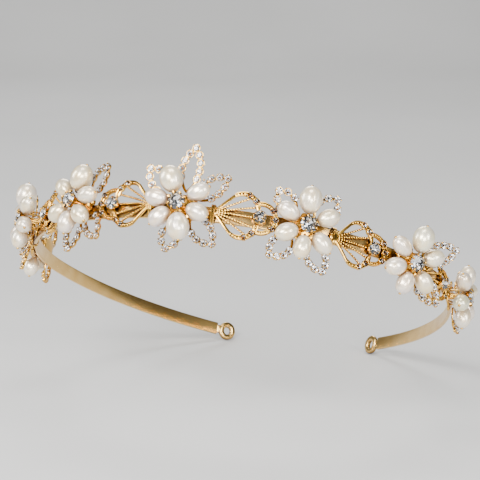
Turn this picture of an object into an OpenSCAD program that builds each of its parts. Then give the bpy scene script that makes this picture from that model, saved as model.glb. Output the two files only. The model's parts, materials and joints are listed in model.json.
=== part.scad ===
// Bridal tiara: a springy flat headband that carries seven pearl flowers and six
// openwork connectors, with an eyelet at each tip.
// Millimetres. +Z is up and -Y is the front. The origin is on the band's inner face,
// at the front centre. "Left" and "right" are as seen from the front.

/* [Band] */
// Width of the strip
band_w = 4; // [3:0.1:5]
// Thickness of the strip
band_t = 1; // [0.8:0.1:1.2]
// Radius of the front, to the middle of the strip
front_r = 60; // [58:0.5:70]
// Turn of the front curve, from the centre to each side
front_sweep = 95; // [90:1:98]
// Radius of each arm, to the middle of the strip
arm_r = 107.5; // [90:0.5:130]
// Length along the strip from the front centre to the end of an arm
arm_reach = 175.5; // [160:0.5:185]
// Length along the strip from the front centre to where an arm flexes
flex_reach = 105.5; // [105.5:0.5:108]
// Tilt of the band's plane, front edge up
band_tilt = 31; // [0:1:35]

/* [Eyelets] */
// Outer diameter of an eyelet
eyelet_d = 6; // [5:0.1:7]
// Diameter of the eyelet's hole
eyelet_hole = 2.5; // [2:0.1:3]
// Thickness of an eyelet
eyelet_t = 1.3; // [1:0.1:1.5]
// Width of the neck between the strip and an eyelet
neck_w = 2.6; // [2:0.1:3.4]
// Distance from the end of the strip to the middle of an eyelet
neck_reach = 4; // [3.5:0.1:4.5]

/* [Flower row] */
// Length of strip from one flower to the next
flower_pitch = 30.6; // [30:0.1:31]
// Height of the centre flower above the middle of the strip
row_lift = 1; // [0:0.1:1.5]
// Roll of the row of ornaments about the front-to-back axis
row_roll = 2; // [0:0.1:2.5]

/* [Pearls] */
// Diameter of a large pearl
large_pearl_d = 6.2; // [5.8:0.1:6.2]
// Length of a large pearl
large_pearl_l = 7.2; // [6.6:0.1:7.2]
// Diameter of a small pearl
small_pearl_d = 4.8; // [4.4:0.1:4.8]
// Length of a small pearl
small_pearl_l = 6.2; // [5.6:0.1:6.2]
// Diameter of the hole drilled through a pearl
drill_d = 0.7; // [0.6:0.05:0.8]
// Diameter of the wire through a pearl
wire_d = 0.5; // [0.4:0.05:0.5]

/* [Petals] */
// Diameter of a cup in the chain
cup_d = 2.04; // [1.9:0.02:2.1]
// Height of a cup
cup_h = 0.8; // [0.7:0.05:0.9]
// Distance from one cup to the next
cup_pitch = 2.15; // [2.1:0.05:2.4]
// Half width of a petal, to the middle of the chain
petal_half_w = 2.4; // [2.1:0.1:2.4]
// Distance from the flower's middle to the root of a petal
petal_root = 4; // [3.8:0.1:4.2]
// Slope of a petal, outer end raised
petal_rise = 6; // [5:0.5:8]

/* [Connectors] */
// Thickness of the openwork frame
frame_t = 0.8; // [0.6:0.05:0.9]
// Width of a rib
rib_w = 0.55; // [0.45:0.05:0.7]
// Diameter of the accent crystal
accent_d = 3.2; // [3:0.1:3.4]
// Diameter of a small rim stone
rim_stone_d = 1.5; // [1.3:0.1:1.6]

/* [Hidden] */
$fa = 6;
$fs = 0.25;
gap = 0.05;                                  // play between pieces that only lie close
round_fn = 160;                              // facets of the long curves of the band

face = band_t / 2;                           // middle of the strip to its outer face
front_len = front_r * front_sweep * PI / 180;
front_centre = [0, front_r - band_t / 2];
front_end = front_centre + front_r * [sin(front_sweep), -cos(front_sweep)];
arm_centre = front_end + arm_r * [-sin(front_sweep), cos(front_sweep)];

plate_r = 3.3;
plate_t = 0.6;
lobe_r = 0.9;                                // scallops round the plate
post_r = 0.9;
post_top = 4;
small_pearl_ring = 5.8;                      // flower's middle to the middle of a small pearl
large_pearl_ring = 6.4;
small_pearl_h = 4.6;                         // plate's underside to the middle of a small pearl
large_pearl_h = 5;
wire_back = 0.35;                            // wire's elbow to the pearl's inner end
bead_d = drill_d + 0.1;                      // head of a pearl wire

setting_r = 2.5;
setting_foot_r = 0.8;
setting_rim = 6;
setting_shoulder = 5.35;
crystal_r = 2.2;
crystal_table_r = 1.3;
crystal_top = 6.7;
crystal_foot = 4.25;
claw_count = 8;
claw_r = 0.26;
claw_top = 6.45;

petal_base = 0.75;                           // plate's underside to the underside of a petal's root
rail_t = 0.45;
rail_w = 0.7;
petal_cover = 6.9;                           // cups start here; nearer in, only the rail runs
stone_r = 0.78;
stone_table_r = 0.45;
stone_seat = 0.35;                           // depth of a stone in its cup
stone_rise = 0.12;                           // stone's table above its cup

knot_at = [-7.2, 0];                         // connector outline, knot end towards the centre flower
knot_r = 1.35;
knot_t = 1.1;
rim_outer = [[0, 2], 4.3];                   // centre and radius of the two arcs of a side rim
rim_inner = [[-0.4, 1.6], 3.55];
rim_from = [-2.6, 2.1];                      // a side rim runs right of and above this point
leg_end = [-2.6, 4.95];                      // a leg joins the knot to each side rim
leg_w = 0.8;
loop_at = [4.6, 0];                          // round end
loop_r = [3.3, 4.3];
loop_from = 3.2;
accent_at = [4.4, 0];
accent_cup_r = accent_d / 2 + 0.2;
accent_cup_h = 1.7;
rib_ends = [[1.5, 4.85], [3.3, 2.7], [3, 0], [3.3, -2.7], [1.5, -4.85]];
strut_ends = [[2.9, 3.9], [4, 1.4]];
rim_stones = [[1.1, 5.5], [2.9, 4.2]];
loop_stone_turns = [-38, 0, 38];

tie_t = 0.3;                                 // thickness of a binding wire
tie_places = [-6.95, -7.5];
tie_top = 1.7;
tie_shoulder = 0.6;

// name, place along the row, lean as [down, along the strip], turns of the large pearls,
// turns of the small pearls, petals as [turn, reach]
FLOWERS = [
    ["flower_left_3", -3, [0, 0], [], [30, 90, 150, 210, 270, 330], [[135, 11], [225, 11]]],
    ["flower_left_2", -2, [0, 0], [84], [27, 150, 218, 275, 330],
        [[135, 12], [217, 12], [270, 13.5]]],
    ["flower_left_1", -1, [0, 0], [66], [9, 138, 210, 263, 316],
        [[44, 13], [264, 12.4], [315, 13.8]]],
    ["flower_centre", 0, [0, 0], [114, 281], [31, 171, 224, 338],
        [[34, 13.8], [83, 15.4], [136, 13.2], [260, 11.8], [316, 13.8]]],
    ["flower_right_1", 1, [0, 0], [92], [30, 155, 210, 264, 318],
        [[50, 11.6], [135, 11.2], [228, 12], [300, 12]]],
    ["flower_right_2", 2, [12, -14], [88], [29, 150, 205, 258, 318], [[30, 14.5], [325, 13.5]]],
    ["flower_right_3", 3, [0, 0], [], [30, 90, 150, 210, 270, 330], [[45, 11], [315, 11]]]
];
FLOWER_PIECES = ["plate", "pearls", "petals", "petal_stones", "claw_setting", "crystal"];

// name, place along the row
CONNECTORS = [
    ["connector_left_3", -2.5], ["connector_left_2", -1.5], ["connector_left_1", -0.5],
    ["connector_right_1", 0.5], ["connector_right_2", 1.5], ["connector_right_3", 2.5]
];
CONNECTOR_PIECES = ["frame", "stones"];

NODES = concat(
    ["band_front", "band_arm_left", "band_arm_right", "end_ring_left", "end_ring_right"],
    [for (f = FLOWERS) for (piece = FLOWER_PIECES) str(f[0], "_", piece)],
    [for (c = CONNECTORS) for (piece = CONNECTOR_PIECES) str(c[0], "_", piece)],
    ["fixing_wires"]
);
node = "all";

function wanted(name) = node == "all" || node == name;
function flip(v) = [-v[0], v[1]];
function across(v) = [v[0], -v[1]];

// Heading of the strip at a length s from the front centre, and the point there
function heading(s) =
    abs(s) <= front_len ? s / front_r * 180 / PI
    : sign(s) * (front_sweep + (abs(s) - front_len) / arm_r * 180 / PI);
function spot(s) =
    s < 0 ? flip(spot(-s))
    : s <= front_len ? front_centre + front_r * [sin(heading(s)), -cos(heading(s))]
    : arm_centre + arm_r * [sin(heading(s)), -cos(heading(s))];
function lift(s) = row_lift - spot(s)[0] * tan(row_roll);

module in_band_plane() rotate([-band_tilt, 0, 0]) children();

// Local X runs along the strip, Y up across it, and Z out of its outer face
module on_band(s, up = 0) {
    in_band_plane()
        translate([spot(s)[0], spot(s)[1], up])
            rotate([0, 0, heading(s)])
                rotate([90, 0, 0])
                    translate([0, 0, face]) children();
}

// A place along the row of ornaments, counted in flowers from the centre one
module on_row(place) {
    s = place * flower_pitch;
    on_band(s, lift(s)) children();
}

module mirrored_if(flag) {
    if (flag) mirror([1, 0, 0]) children();
    else children();
}

// ---- headband ----

module strip_arc(radius, from, sweep) {
    rotate([0, 0, from - 90])
        rotate_extrude(angle = sweep, $fn = round_fn)
            translate([radius - band_t / 2, -band_w / 2]) square([band_t, band_w]);
}

module arm_strip(from, to) {
    translate([arm_centre[0], arm_centre[1], 0])
        strip_arc(arm_r, heading(from), heading(to) - heading(from));
}

module band_front() {
    color("goldenrod") in_band_plane() {
        translate([front_centre[0], front_centre[1], 0])
            strip_arc(front_r, -front_sweep, 2 * front_sweep);
        for (left = [true, false])
            mirrored_if(left) arm_strip(front_len, flex_reach);
    }
}

module band_arm(left) {
    color("gold") in_band_plane() mirrored_if(left) arm_strip(flex_reach, arm_reach);
}

module end_ring(left) {
    color("goldenrod") mirrored_if(left)
        on_band(arm_reach) translate([0, 0, -face])
            difference() {
                union() {
                    translate([0, -neck_w / 2, -band_t / 2]) cube([neck_reach, neck_w, band_t]);
                    translate([neck_reach, 0, 0]) cylinder(d = eyelet_d, h = eyelet_t, center = true);
                }
                translate([neck_reach, 0, 0])
                    cylinder(d = eyelet_hole, h = 2 * eyelet_t, center = true);
            }
}

// ---- flowers ----

// A leaning flower is raised until its plate clears the strip
function lean_rise(lean) = (plate_r + lobe_r) * sqrt(1 - pow(cos(lean[0]) * cos(lean[1]), 2));

module on_flower(flower) {
    lean = flower[2];
    on_row(flower[1]) translate([0, 0, lean_rise(lean)])
        rotate([lean[0], 0, 0]) rotate([0, lean[1], 0]) children();
}

// Pearls of a flower as [turn, diameter, length, distance out, height]
function pearls(flower) = concat(
    [for (turn = flower[3]) [turn, large_pearl_d, large_pearl_l, large_pearl_ring, large_pearl_h]],
    [for (turn = flower[4]) [turn, small_pearl_d, small_pearl_l, small_pearl_ring, small_pearl_h]]
);

// Local X runs outwards along the pearl, from the flower's middle
module at_pearl(pearl) {
    rotate([0, 0, pearl[0]]) translate([0, 0, pearl[4]]) children();
}

// Half outline of a pearl: an ellipse, as the round discs that it just holds
module pearl_outline(d, l) {
    b = d / 2;
    a = l / 2;
    reach = a - b * b / a;                   // middle to the middle of the end disc
    intersection() {
        for (i = [-3:3])
            let (at = i * reach / 3)
                translate([0, at]) circle(b * sqrt(1 - at * at / (a * a - b * b)));
        translate([0, -a]) square([b, l]);
    }
}

module pearl(d, l) {
    rotate([0, 90, 0]) difference() {
        rotate_extrude() pearl_outline(d, l);
        cylinder(d = drill_d, h = 2 * l, center = true);
    }
}

module flower_plate(flower) {
    color("goldenrod") on_flower(flower) {
        cylinder(r = plate_r, h = plate_t);
        for (pearl = pearls(flower))
            rotate([0, 0, pearl[0]]) translate([plate_r, 0, 0]) cylinder(r = lobe_r, h = plate_t);
        cylinder(r = post_r, h = post_top);
    }
    // Foot from the strip to the middle of a leaning plate
    color("goldenrod") on_row(flower[1])
        cylinder(r = post_r, h = lean_rise(flower[2]) + plate_t / 2);
}

module flower_pearls(flower) {
    color("ivory") on_flower(flower)
        for (pearl = pearls(flower))
            at_pearl(pearl) translate([pearl[3], 0, 0]) pearl(pearl[1], pearl[2]);
}

// A petal is two equal arcs that meet at its root and its tip
function petal_len(petal) = petal[1] - petal_root;
function arc_r(len, half_w) = (len * len / 4 + half_w * half_w) / (2 * half_w);
function arc_half_turn(len, half_w) = asin(len / 2 / arc_r(len, half_w));
function cups_per_side(petal) =
    let (len = petal_len(petal))
    round(arc_r(len, petal_half_w) * arc_half_turn(len, petal_half_w) * PI / 90 / cup_pitch);
// Cups from the tip (0) towards the root, on the side given by +1 or -1
function cup_spot(petal, i, side) =
    let (len = petal_len(petal), r = arc_r(len, petal_half_w),
         half_turn = arc_half_turn(len, petal_half_w),
         turn = half_turn - 2 * half_turn * i / cups_per_side(petal))
    [len / 2 + r * sin(turn), side * (r * cos(turn) - r + petal_half_w)];
function cup_spots(petal) = [
    for (side = [1, -1]) for (i = [(side == 1 ? 0 : 1):cups_per_side(petal) - 1])
        let (at = cup_spot(petal, i, side))
            if (at[0] > petal_cover - petal_root) at
];

module at_petal(petal) {
    rotate([0, 0, petal[0]]) translate([petal_root, 0, petal_base])
        rotate([0, -petal_rise, 0]) children();
}

module leaf(len, half_w) {
    r = arc_r(len, half_w);
    intersection_for (side = [-1, 1])
        translate([len / 2, side * (r - half_w)]) circle(r, $fn = 120);
}

module petal_chain(petal) {
    len = petal_len(petal);
    difference() {
        union() {
            linear_extrude(rail_t) difference() {
                leaf(len + rail_w / 2, petal_half_w + rail_w / 2);
                translate([rail_w, 0]) leaf(len - 1.5 * rail_w, petal_half_w - rail_w / 2);
            }
            for (at = cup_spots(petal)) translate([at[0], at[1], 0]) cylinder(d = cup_d, h = cup_h);
        }
        for (at = cup_spots(petal))
            translate([at[0], at[1], cup_h - stone_seat]) cylinder(r = stone_r, h = cup_h);
    }
}

module flower_petals(flower) {
    color("gold") on_flower(flower)
        for (petal = flower[5]) at_petal(petal) petal_chain(petal);
}

module cut_stone(r, table_r, seat, rise) {
    cylinder(r = r, h = seat);
    translate([0, 0, seat]) cylinder(r1 = r, r2 = table_r, h = rise);
}

module flower_petal_stones(flower) {
    color("white") on_flower(flower)
        for (petal = flower[5]) at_petal(petal)
            for (at = cup_spots(petal)) translate([at[0], at[1], cup_h - stone_seat])
                cut_stone(stone_r, stone_table_r, stone_seat, stone_rise);
}

module flower_claw_setting(flower) {
    color("gold") on_flower(flower) {
        rotate_extrude() polygon([
            [0, post_top], [setting_foot_r, post_top], [setting_r, setting_shoulder],
            [setting_r, setting_rim], [crystal_r, setting_rim], [0, crystal_foot]
        ]);
        for (i = [0:claw_count - 1])
            rotate([0, 0, (i + 0.5) * 360 / claw_count])
                translate([crystal_r + claw_r + gap, 0, setting_rim - 0.2])
                    cylinder(r = claw_r, h = claw_top - setting_rim + 0.2);
    }
}

module flower_crystal(flower) {
    color("white") on_flower(flower)
        rotate_extrude() polygon([
            [0, crystal_foot], [crystal_r, setting_rim], [crystal_table_r, crystal_top],
            [0, crystal_top]
        ]);
}

// ---- connectors ----

module on_connector(connector) {
    on_row(connector[1]) mirrored_if(connector[1] < 0) children();
}

module bar(from, to, width) {
    along = to - from;
    translate(from) rotate(atan2(along[1], along[0]))
        translate([0, -width / 2]) square([norm(along), width]);
}

module side_rim() {
    intersection() {
        difference() {
            translate(rim_outer[0]) circle(rim_outer[1], $fn = 96);
            translate(rim_inner[0]) circle(rim_inner[1], $fn = 96);
        }
        translate(rim_from) square(2 * rim_outer[1]);
    }
}

module connector_outline() {
    translate(knot_at) circle(knot_r);
    translate(accent_at) circle(accent_cup_r);
    for (end = rib_ends) bar(knot_at, end, rib_w);
    for (side = [0, 1]) mirror([0, side]) {
        side_rim();
        bar(knot_at, leg_end, leg_w);
        bar(strut_ends[0], strut_ends[1], rib_w);
    }
    intersection() {
        translate(loop_at) difference() {
            circle(loop_r[1], $fn = 96);
            circle(loop_r[0], $fn = 96);
        }
        translate([loop_from, -loop_r[1]]) square(2 * loop_r[1]);
    }
}

function stone_spots() = concat(
    rim_stones, [for (at = rim_stones) across(at)],
    [for (turn = loop_stone_turns)
        loop_at + (loop_r[0] + loop_r[1]) / 2 * [cos(turn), sin(turn)]]
);

module connector_frame(connector) {
    color("darkgoldenrod") on_connector(connector) {
        difference() {
            union() {
                linear_extrude(frame_t) connector_outline();
                for (at = stone_spots()) translate([at[0], at[1], 0])
                    cylinder(d = rim_stone_d + 0.3, h = frame_t);
                translate([knot_at[0], knot_at[1], 0]) cylinder(r = knot_r, h = knot_t);
                translate([accent_at[0], accent_at[1], 0]) cylinder(r = accent_cup_r, h = accent_cup_h);
            }
            for (at = stone_spots()) translate([at[0], at[1], frame_t - stone_seat])
                cylinder(d = rim_stone_d, h = frame_t);
            translate([accent_at[0], accent_at[1], accent_cup_h - stone_seat])
                cylinder(d = accent_d, h = accent_cup_h);
        }
    }
}

module connector_stones(connector) {
    color("white") on_connector(connector) {
        for (at = stone_spots()) translate([at[0], at[1], frame_t - stone_seat])
            cut_stone(rim_stone_d / 2, rim_stone_d / 4, stone_seat, stone_rise);
        translate([accent_at[0], accent_at[1], accent_cup_h - stone_seat])
            cut_stone(accent_d / 2, accent_d / 3.4, stone_seat, 0.5);
    }
}

// ---- wires ----

// The wire comes up from the plate, turns into the pearl's hole and ends in a bead
module pearl_wire(pearl) {
    elbow = pearl[3] - pearl[2] / 2 - wire_back;
    tip = pearl[3] + pearl[2] / 2;
    translate([elbow, 0, plate_t - pearl[4]]) cylinder(d = wire_d, h = pearl[4] - plate_t);
    translate([elbow, 0, 0]) sphere(d = wire_d);
    translate([elbow, 0, 0]) rotate([0, 90, 0])
        cylinder(d = wire_d, h = tip - elbow + bead_d / 2);
    translate([tip + bead_d / 2, 0, 0]) sphere(d = bead_d);
}

// A flat tie round the strip and a connector's knot. The knot sits off the strip's middle by up.
function tie_outline(up, grow) =
    let (low = min(-band_w / 2, up - knot_r) - gap - grow,
         high = max(band_w / 2, up + knot_r) + gap + grow,
         knot_side = knot_r + gap + grow, back = band_t + gap + grow)
    [[-tie_top - grow, up - knot_side], [-tie_top - grow, up + knot_side], [-tie_shoulder, high],
     [back, high], [back, low], [-tie_shoulder, low]];

module tie(up) {
    rotate([0, 90, 0]) linear_extrude(tie_t, center = true) difference() {
        polygon(tie_outline(up, tie_t));
        polygon(tie_outline(up, 0));
    }
}

module fixing_wires() {
    color("gold") {
        for (flower = FLOWERS) on_flower(flower)
            for (pearl = pearls(flower)) at_pearl(pearl) pearl_wire(pearl);
        for (connector = CONNECTORS, place = tie_places) {
            middle = connector[1] * flower_pitch;
            on_band(middle + sign(middle) * place) tie(lift(middle));
        }
    }
}

// ---- nodes ----

if (wanted("band_front")) band_front();
if (wanted("band_arm_left")) band_arm(true);
if (wanted("band_arm_right")) band_arm(false);
if (wanted("end_ring_left")) end_ring(true);
if (wanted("end_ring_right")) end_ring(false);
for (f = FLOWERS) {
    if (wanted(str(f[0], "_plate"))) flower_plate(f);
    if (wanted(str(f[0], "_pearls"))) flower_pearls(f);
    if (wanted(str(f[0], "_petals"))) flower_petals(f);
    if (wanted(str(f[0], "_petal_stones"))) flower_petal_stones(f);
    if (wanted(str(f[0], "_claw_setting"))) flower_claw_setting(f);
    if (wanted(str(f[0], "_crystal"))) flower_crystal(f);
}
for (c = CONNECTORS) {
    if (wanted(str(c[0], "_frame"))) connector_frame(c);
    if (wanted(str(c[0], "_stones"))) connector_stones(c);
}
if (wanted("fixing_wires")) fixing_wires();
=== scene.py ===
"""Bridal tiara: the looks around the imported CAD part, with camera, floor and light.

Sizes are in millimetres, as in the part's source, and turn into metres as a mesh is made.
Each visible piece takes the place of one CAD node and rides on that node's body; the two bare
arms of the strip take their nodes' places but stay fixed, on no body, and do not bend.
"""

import json
import math
from collections import namedtuple

import bmesh
import bpy
import numpy as np
from mathutils import Matrix, Vector

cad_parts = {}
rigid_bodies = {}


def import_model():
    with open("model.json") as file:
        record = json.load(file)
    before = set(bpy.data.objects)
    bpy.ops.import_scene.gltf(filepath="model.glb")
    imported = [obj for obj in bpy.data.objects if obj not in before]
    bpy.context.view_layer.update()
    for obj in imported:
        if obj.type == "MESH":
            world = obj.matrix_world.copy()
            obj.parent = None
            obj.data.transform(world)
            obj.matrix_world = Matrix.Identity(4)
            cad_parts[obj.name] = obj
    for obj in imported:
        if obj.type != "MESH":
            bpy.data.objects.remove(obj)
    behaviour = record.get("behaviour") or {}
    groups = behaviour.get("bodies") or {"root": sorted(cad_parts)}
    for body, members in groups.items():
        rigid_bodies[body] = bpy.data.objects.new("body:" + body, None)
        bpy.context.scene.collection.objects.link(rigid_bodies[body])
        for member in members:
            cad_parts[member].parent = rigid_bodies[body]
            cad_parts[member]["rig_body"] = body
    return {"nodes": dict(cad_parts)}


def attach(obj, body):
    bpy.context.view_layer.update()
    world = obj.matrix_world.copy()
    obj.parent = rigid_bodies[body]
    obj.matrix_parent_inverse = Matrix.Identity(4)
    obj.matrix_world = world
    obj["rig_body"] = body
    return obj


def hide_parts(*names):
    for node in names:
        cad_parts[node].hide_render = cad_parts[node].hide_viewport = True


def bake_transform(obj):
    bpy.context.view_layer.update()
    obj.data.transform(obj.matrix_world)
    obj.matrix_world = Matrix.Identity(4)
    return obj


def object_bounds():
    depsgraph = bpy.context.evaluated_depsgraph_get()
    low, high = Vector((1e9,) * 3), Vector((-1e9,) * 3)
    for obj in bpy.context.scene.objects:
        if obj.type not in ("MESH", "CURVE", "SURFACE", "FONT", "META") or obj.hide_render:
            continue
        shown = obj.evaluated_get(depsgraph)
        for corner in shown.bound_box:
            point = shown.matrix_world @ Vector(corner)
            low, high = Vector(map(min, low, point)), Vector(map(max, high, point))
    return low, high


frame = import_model()
cad_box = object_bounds()

MM = 0.001
rng = np.random.default_rng(11)

# ---- driving sizes, the same as the CAD part's except where a comment says otherwise ----

BAND_W, BAND_T = 4.0, 1.0
STRIP_CORNER, STRIP_STEP = 0.28, 1.0       # rounding of its edges, and length of one mesh step
FACE = BAND_T / 2
FRONT_R, FRONT_SWEEP = 60.0, math.radians(95)
ARM_R, ARM_REACH = 107.5, 175.5
BAND_TILT = math.radians(31)
FLEX_FROM, FLEX_TO = 100.0, 111.0          # stretch of the strip at an arm's joint; the arms start at its start, and it is not bent

EYELET_R, EYELET_HOLE_R, EYELET_T = 3.0, 1.25, 1.3
NECK_W, NECK_REACH = 2.6, 4.0

FLOWER_PITCH = 30.6
ROW_LIFT, ROW_ROLL = 1.0, math.radians(2)

PLATE_R, PLATE_T, LOBE_R = 3.3, 0.6, 0.9
POST_R, POST_TOP = 0.9, 4.0
POST_WAIST = 0.7                           # the CAD's post has no waist
LARGE = {"d": 6.2, "l": 7.2, "ring": 6.4, "h": 5.0}
SMALL = {"d": 4.8, "l": 6.2, "ring": 5.8, "h": 4.6}
DRILL_R, WIRE_R, WIRE_BACK = 0.35, 0.25, 0.35

CLAW_COUNT = 8
SETTING_RIM, SETTING_SHOULDER = 6.0, 5.35
CRYSTAL_R, CRYSTAL_TABLE_Z = 2.2, 6.7
CRYSTAL_FOOT_Z = 4.4                       # a little higher than the CAD's, inside its setting

PETAL_ROOT, PETAL_BASE, PETAL_RISE = 4.0, 0.75, math.radians(6)
PETAL_HALF_W, PETAL_COVER = 2.4, 6.9
CUP_PITCH = 2.15
STONE_R, STONE_TOP = 0.88, 0.98            # fuller stones than the CAD's, in the same cups
RAIL_T, RAIL_W = 0.45, 0.7

RIB_W = 0.55
KNOT_AT, KNOT_R, KNOT_T = np.array([-7.2, 0.0]), 1.35, 1.1
RIM_OUTER = (np.array([0.0, 2.0]), 4.3)    # centre and radius
RIM_INNER = (np.array([-0.4, 1.6]), 3.55)
RIM_FROM = (-2.6, 2.1)                     # a side rim runs right of and above this point
LEG_END, LEG_W = (-2.6, 4.95), 0.8
LOOP_AT, LOOP_R, LOOP_FROM = np.array([4.6, 0.0]), (3.3, 4.3), 3.2
ACCENT_AT, ACCENT_R, ACCENT_CUP_H = np.array([4.4, 0.0]), 1.6, 1.7
RIB_ENDS = ((1.5, 4.85), (3.3, 2.7), (3.0, 0.0), (3.3, -2.7), (1.5, -4.85))
STRUT_ENDS = ((2.9, 3.9), (4.0, 1.4))
RIM_STONES = ((1.1, 5.5), (2.9, 4.2))
RIM_STONE_R = 0.75
LOOP_STONE_TURNS = (-38, 0, 38)

TIE_PLACES = (-6.95, -7.5)
TIE_T, TIE_TOP, TIE_SHOULDER, TIE_GAP = 0.3, 1.7, 0.6, 0.05
STRAND_R, STRAND_OFF = 0.13, 0.1           # a tie is drawn as two thin strands side by side

EVEN_TURNS = (30, 90, 150, 210, 270, 330)

# The place counts flowers from the centre one. A lean is (down, along the strip), large and small
# are the turns of the pearls of each size, and a petal is (turn, reach). Turns are in degrees.
Flower = namedtuple("Flower", "name place lean large small petals")
FLOWERS = (
    Flower("flower_left_3", -3, (0, 0), (), EVEN_TURNS, ((135, 11), (225, 11))),
    Flower("flower_left_2", -2, (0, 0), (84,), (27, 150, 218, 275, 330),
           ((135, 12), (217, 12), (270, 13.5))),
    Flower("flower_left_1", -1, (0, 0), (66,), (9, 138, 210, 263, 316),
           ((44, 13), (264, 12.4), (315, 13.8))),
    Flower("flower_centre", 0, (0, 0), (114, 281), (31, 171, 224, 338),
           ((34, 13.8), (83, 15.4), (136, 13.2), (260, 11.8), (316, 13.8))),
    Flower("flower_right_1", 1, (0, 0), (92,), (30, 155, 210, 264, 318),
           ((50, 11.6), (135, 11.2), (228, 12), (300, 12))),
    Flower("flower_right_2", 2, (12, -14), (88,), (29, 150, 205, 258, 318),
           ((30, 14.5), (325, 13.5))),
    Flower("flower_right_3", 3, (0, 0), (), EVEN_TURNS, ((45, 11), (315, 11))),
)
CONNECTORS = (
    ("connector_left_3", -2.5), ("connector_left_2", -1.5), ("connector_left_1", -0.5),
    ("connector_right_1", 0.5), ("connector_right_2", 1.5), ("connector_right_3", 2.5),
)


# ---- the band's curve ----

FRONT_LEN = FRONT_R * FRONT_SWEEP
FRONT_CENTRE = np.array([0.0, FRONT_R - FACE])


def bearing(turn):
    """Unit vector, in the band's plane, that points out of the strip where its heading is turn."""
    return np.array([math.sin(turn), -math.cos(turn)])


ARM_CENTRE = FRONT_CENTRE + (FRONT_R - ARM_R) * bearing(FRONT_SWEEP)
ROW_X = np.array([1.0, 0.0, 0.0])
ROW_BACK = np.array([0.0, math.cos(BAND_TILT), -math.sin(BAND_TILT)])
ROW_UP = np.array([0.0, math.sin(BAND_TILT), math.cos(BAND_TILT)])


def heading(s):
    """Heading of the strip, in radians, at the length s from the front centre."""
    if abs(s) <= FRONT_LEN:
        return s / FRONT_R
    return math.copysign(FRONT_SWEEP + (abs(s) - FRONT_LEN) / ARM_R, s)


def spot(s):
    """The point of the strip's middle line at the length s, in the band's plane."""
    turn = heading(abs(s))
    at = (FRONT_CENTRE + FRONT_R * bearing(turn) if abs(s) <= FRONT_LEN
          else ARM_CENTRE + ARM_R * bearing(turn))
    return at * (1 if s >= 0 else -1, 1)


def lift(s):
    """Height of the row of ornaments above the middle of the strip."""
    return ROW_LIFT - spot(s)[0] * math.tan(ROW_ROLL)


def on_band(s, up=0.0, out=FACE):
    """4x4 matrix of the place at s: X along the strip, Y up across it, Z out of its outer face."""
    turn = heading(s)
    out_dir = math.sin(turn) * ROW_X - math.cos(turn) * ROW_BACK
    along = math.cos(turn) * ROW_X + math.sin(turn) * ROW_BACK
    x, back = spot(s)
    matrix = np.eye(4)
    matrix[:3, 0], matrix[:3, 1], matrix[:3, 2] = along, ROW_UP, out_dir
    matrix[:3, 3] = x * ROW_X + back * ROW_BACK + up * ROW_UP + out * out_dir
    return matrix


# ---- small matrices ----

def shift(x=0.0, y=0.0, z=0.0):
    matrix = np.eye(4)
    matrix[:3, 3] = x, y, z
    return matrix


def turned(angle, axis="Z"):
    return np.array(Matrix.Rotation(angle, 4, axis))


def scaled(x, y, z):
    return np.diag([x, y, z, 1.0])


MIRROR_X = scaled(-1, 1, 1)
MIRROR_Y = scaled(1, -1, 1)


# ---- shapes: (points, faces, slot of each face) ----

def shape(points, faces, slots=None):
    """A closed shape with its faces turned outwards."""
    bm = bmesh.new()
    verts = [bm.verts.new(p) for p in points]
    bm.verts.index_update()
    for face in faces:
        bm.faces.new([verts[i] for i in face])
    bmesh.ops.recalc_face_normals(bm, faces=bm.faces)
    faces = [[v.index for v in f.verts] for f in bm.faces]
    bm.free()
    return np.asarray(points, float), faces, slots or [0] * len(faces)


def rings(loops, closed=False):
    """Skin over rings of points. A ring of one point is a pole, and an open end gets a cap."""
    points = np.vstack([np.asarray(loop, float).reshape(-1, 3) for loop in loops])
    starts = np.cumsum([0] + [len(np.asarray(loop).reshape(-1, 3)) for loop in loops])
    counts = np.diff(starts)
    pairs = list(zip(range(len(loops) - 1), range(1, len(loops))))
    if closed:
        pairs.append((len(loops) - 1, 0))
    faces = []
    for a, b in pairs:
        for i in range(max(counts[a], counts[b])):
            j = i + 1
            face = [starts[a] + i % counts[a], starts[a] + j % counts[a],
                    starts[b] + j % counts[b], starts[b] + i % counts[b]]
            faces.append(list(dict.fromkeys(face)))
    if not closed:
        for end in (0, len(loops) - 1):
            if counts[end] > 2:
                faces.append([starts[end] + i for i in range(counts[end])])
    return shape(points, faces)


def round_ring(radius, z, steps, phase=0.0):
    """A level ring of points, or its centre where the radius is 0."""
    if radius == 0:
        return [(0.0, 0.0, z)]
    turns = phase + np.arange(steps) * 2 * math.pi / steps
    return np.stack([radius * np.cos(turns), radius * np.sin(turns), np.full(steps, z)], 1)


def lathe(profile, steps):
    """A turned shape from (radius, height) points."""
    return rings([round_ring(r, z, steps) for r, z in profile])


def bead(radius, steps=10):
    """A small ball."""
    turns = np.linspace(-90, 90, steps // 2 + 1)
    return lathe([(0 if abs(t) == 90 else radius * math.cos(math.radians(t)),
                   radius * math.sin(math.radians(t))) for t in turns], steps)


def side_vectors(path, closed):
    """Two vectors across a path at each of its points, turned as little as can be."""
    if closed:
        tangents = np.roll(path, -1, 0) - np.roll(path, 1, 0)
    else:
        tangents = np.gradient(path, axis=0)
    tangents /= np.linalg.norm(tangents, axis=1)[:, None]
    side = np.cross(tangents[0], (0.0, 0.0, 1.0))
    if np.linalg.norm(side) < 0.1:
        side = np.cross(tangents[0], (0.0, 1.0, 0.0))
    sides = []
    for tangent in tangents:
        side = side - tangent * (side @ tangent)
        side /= np.linalg.norm(side)
        sides.append(side)
    sides = np.array(sides)
    return sides, np.cross(sides, tangents)


def sweep(path, section, closed=False):
    """A section, as (across, up) points, carried along a path."""
    path = np.asarray(path, float)
    sides, ups = side_vectors(path, closed)
    section = np.asarray(section, float)
    loops = [p + section[:, :1] * a + section[:, 1:] * u for p, a, u in zip(path, sides, ups)]
    return rings(loops, closed)


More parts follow.
